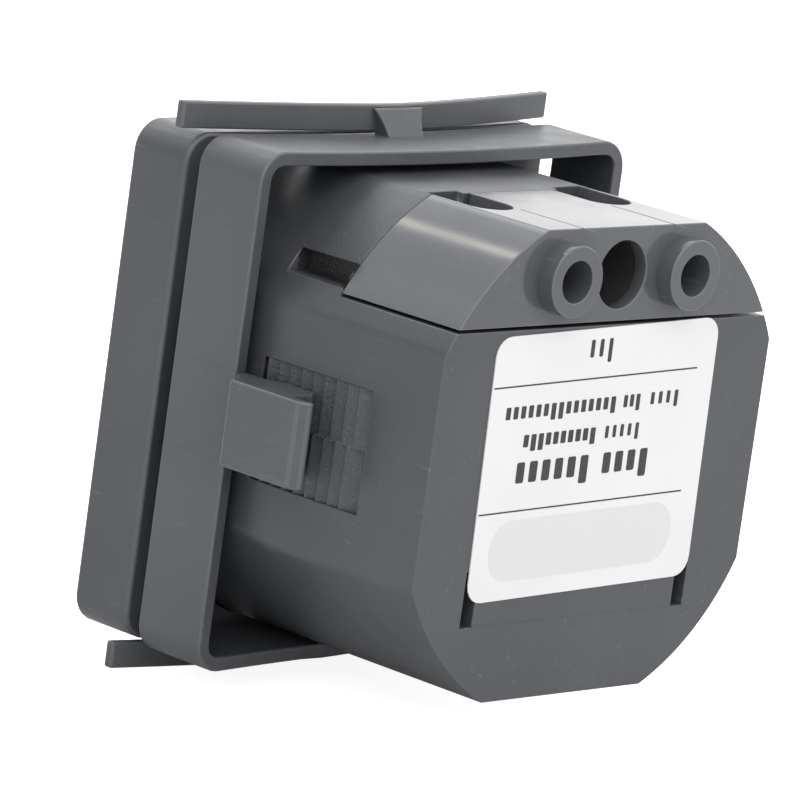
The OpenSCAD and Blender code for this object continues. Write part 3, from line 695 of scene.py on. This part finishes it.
def floor_plane():
    """A white floor at the object's lowest point, seen only from above and lifted to white for the camera."""
    low, _ = box_mm("mounting_frame")
    radius, sides, floor_grey, floor_glow = 2500, 64, 0.62, 0.88
    bm = bmesh.new()
    bmesh.ops.create_circle(bm, cap_ends=True, segments=sides, radius=mm(radius))
    bmesh.ops.translate(bm, verts=bm.verts[:], vec=mm(0, 0, low.z))
    mesh = bpy.data.meshes.new("floor")
    bm.to_mesh(mesh)
    bm.free()
    floor = bpy.data.objects.new("floor", mesh)
    scene.collection.objects.link(floor)
    material = bpy.data.materials.new("floor_white")
    material.use_nodes = True
    tree = material.node_tree
    paper = tree.nodes["Principled BSDF"]
    paper.inputs["Base Color"].default_value = grey(floor_grey)
    paper.inputs["Roughness"].default_value = 0.9
    glow = tree.nodes.new("ShaderNodeEmission")
    glow.inputs["Strength"].default_value = floor_glow
    ray = tree.nodes.new("ShaderNodeLightPath")
    seen = tree.nodes.new("ShaderNodeMixShader")
    tree.links.new(ray.outputs["Is Camera Ray"], seen.inputs[0])
    tree.links.new(glow.outputs[0], seen.inputs[2])
    white = tree.nodes.new("ShaderNodeAddShader")
    tree.links.new(paper.outputs[0], white.inputs[0])
    tree.links.new(seen.outputs[0], white.inputs[1])
    side = tree.nodes.new("ShaderNodeNewGeometry")
    clear = tree.nodes.new("ShaderNodeBsdfTransparent")
    pick = tree.nodes.new("ShaderNodeMixShader")
    tree.links.new(side.outputs["Backfacing"], pick.inputs[0])
    tree.links.new(white.outputs[0], pick.inputs[1])
    tree.links.new(clear.outputs[0], pick.inputs[2])
    tree.links.new(pick.outputs[0], tree.nodes["Material Output"].inputs["Surface"])
    floor.data.materials.append(material)


class Air:
    """The studio's surroundings: white to the camera, and soft boxes on a pale wall to everything else."""

    def __init__(self):
        world = bpy.data.worlds.new("studio")
        world.use_nodes = True
        scene.world = world
        self.tree = world.node_tree
        self.tree.nodes.clear()
        self.direction = self.tree.nodes.new("ShaderNodeTexCoord").outputs["Generated"]
        self.total = None

    def node(self, kind, inputs, **settings):
        node = self.tree.nodes.new(kind)
        for key, value in settings.items():
            setattr(node, key, value)
        for key, value in inputs.items():
            if isinstance(value, bpy.types.NodeSocket):
                self.tree.links.new(value, node.inputs[key])
            else:
                node.inputs[key].default_value = value
        return node

    def along(self, axis):
        dot = self.node("ShaderNodeVectorMath", {0: self.direction, 1: axis}, operation="DOT_PRODUCT")
        return dot.outputs["Value"]

    def step(self, value, low, high):
        return self.node("ShaderNodeMapRange", {"Value": value, "From Min": low, "From Max": high},
                         interpolation_type="SMOOTHSTEP").outputs[0]

    def times(self, a, b):
        return self.node("ShaderNodeMath", {0: a, 1: b}, operation="MULTIPLY").outputs[0]

    def glow(self, share, colour, strength):
        """Adds light of that colour where share is 1."""
        lit = self.node("ShaderNodeVectorMath", {0: [c * strength for c in colour], "Scale": share},
                        operation="SCALE").outputs[0]
        if self.total is None:
            self.total = lit
        else:
            both = self.node("ShaderNodeVectorMath", {0: self.total, 1: lit}, operation="ADD")
            self.total = both.outputs[0]

    def soft_box(self, towards, half_width, half_height, soft, colour, strength):
        """A box of light in direction towards. Sizes are sines of angles, and soft is its edge's width."""
        out = Vector(towards).normalized()
        across = Vector((0, 0, 1)).cross(out).normalized() if abs(out.z) < 0.95 else Vector((1, 0, 0))
        up = out.cross(across)
        share = self.step(self.along(out), 0.0, 0.05)
        for axis, half in ((across, half_width), (up, half_height)):
            off = self.node("ShaderNodeMath", {0: self.along(axis)}, operation="ABSOLUTE").outputs[0]
            share = self.times(share, self.step(off, half + soft, half))
        self.glow(share, colour, strength)

    def close(self):
        lit = self.node("ShaderNodeBackground", {"Color": self.total, "Strength": 1.0})
        seen = self.node("ShaderNodeBackground", {"Color": grey(1.0), "Strength": 1.0})
        ray = self.node("ShaderNodeLightPath", {})
        pick = self.node("ShaderNodeMixShader", {0: ray.outputs["Is Camera Ray"], 1: lit.outputs[0],
                                                 2: seen.outputs[0]})
        self.node("ShaderNodeOutputWorld", {"Surface": pick.outputs[0]})


WHITE, COOL, WARM = (1, 1, 1), (0.8, 0.97, 1.2), (1.08, 1.0, 0.90)


def studio_light():
    """A pale room with soft boxes around and overhead, and a cool box and a warm strip above the front."""
    air = Air()
    air.glow(1.0, WHITE, 0.85)
    air.soft_box((-0.72, -0.66, 0.25), 0.6, 0.45, 0.3, WHITE, 0.95)
    air.soft_box((0.72, 0.67, 0.45), 0.55, 0.45, 0.4, WHITE, 0.85)
    air.soft_box((-0.6, 0.75, 0.1), 0.4, 0.35, 0.4, WHITE, 0.65)
    air.soft_box((0.1, 0.3, 0.95), 0.5, 0.5, 0.3, WHITE, 0.95)
    air.soft_box((0.0, -0.6, 0.8), 0.4, 0.4, 0.15, COOL, 0.3)
    air.soft_box((-0.05, -0.665, 0.745), 0.02, 0.2, 0.012, WARM, 5.5)
    air.close()


CAMERA_AIM = mm(-4.0, 4.6, -1.4)
CAMERA_AZIMUTH, CAMERA_ELEVATION, CAMERA_ROLL = (math.radians(a) for a in (132.84, 11.44, 7.94))
CAMERA_DISTANCE, CAMERA_LENS = mm(640.3), 297.8


def camera():
    """The telephoto view from behind the meter's terminal side, rolled as the photograph is."""
    azimuth, elevation, roll = CAMERA_AZIMUTH, CAMERA_ELEVATION, CAMERA_ROLL
    right = Vector((math.cos(azimuth), math.sin(azimuth), 0))
    back = Vector((math.sin(azimuth) * math.cos(elevation), -math.cos(azimuth) * math.cos(elevation),
                   math.sin(elevation)))
    up = back.cross(right)
    across = right * math.cos(roll) + up * math.sin(roll)
    upward = up * math.cos(roll) - right * math.sin(roll)
    data = bpy.data.cameras.new("camera")
    data.lens = CAMERA_LENS
    data.sensor_width = 36
    data.clip_start, data.clip_end = 0.01, 20
    eye = bpy.data.objects.new("camera", data)
    eye.matrix_world = Matrix.Translation(CAMERA_AIM + back * CAMERA_DISTANCE) @ Matrix(
        (across, upward, back)).transposed().to_4x4()
    scene.collection.objects.link(eye)
    scene.camera = eye


# ---------------------------------------------------------------- the scene

finish_cad_nodes()
softened_shell("front_bezel", "bezel_shell", 0.4, [body_plastic, body_edge_highlight],
               rings_cut=((1, 0, 0), (0, 0, 1)))
softened_shell("housing", "housing_shell", 0.12, [body_plastic, body_edge_highlight])
softened_shell("terminal_cover", "cover_shell", 0.12, [cover_plastic, cover_edge_highlight])
softened_shell("mounting_frame", "frame_shell", 0.22, [frame_plastic, frame_edge_highlight])
softened_shell("latch_left", "latch_left_shell", 0.26, [frame_plastic, frame_edge_highlight])
softened_shell("latch_right", "latch_right_shell", 0.26, [frame_plastic, frame_edge_highlight])
label()
dial_print()
wheel_figures()
mould_marks()
hole_sleeve()
floor_plane()
studio_light()
camera()
scene.view_settings.view_transform = "Standard"
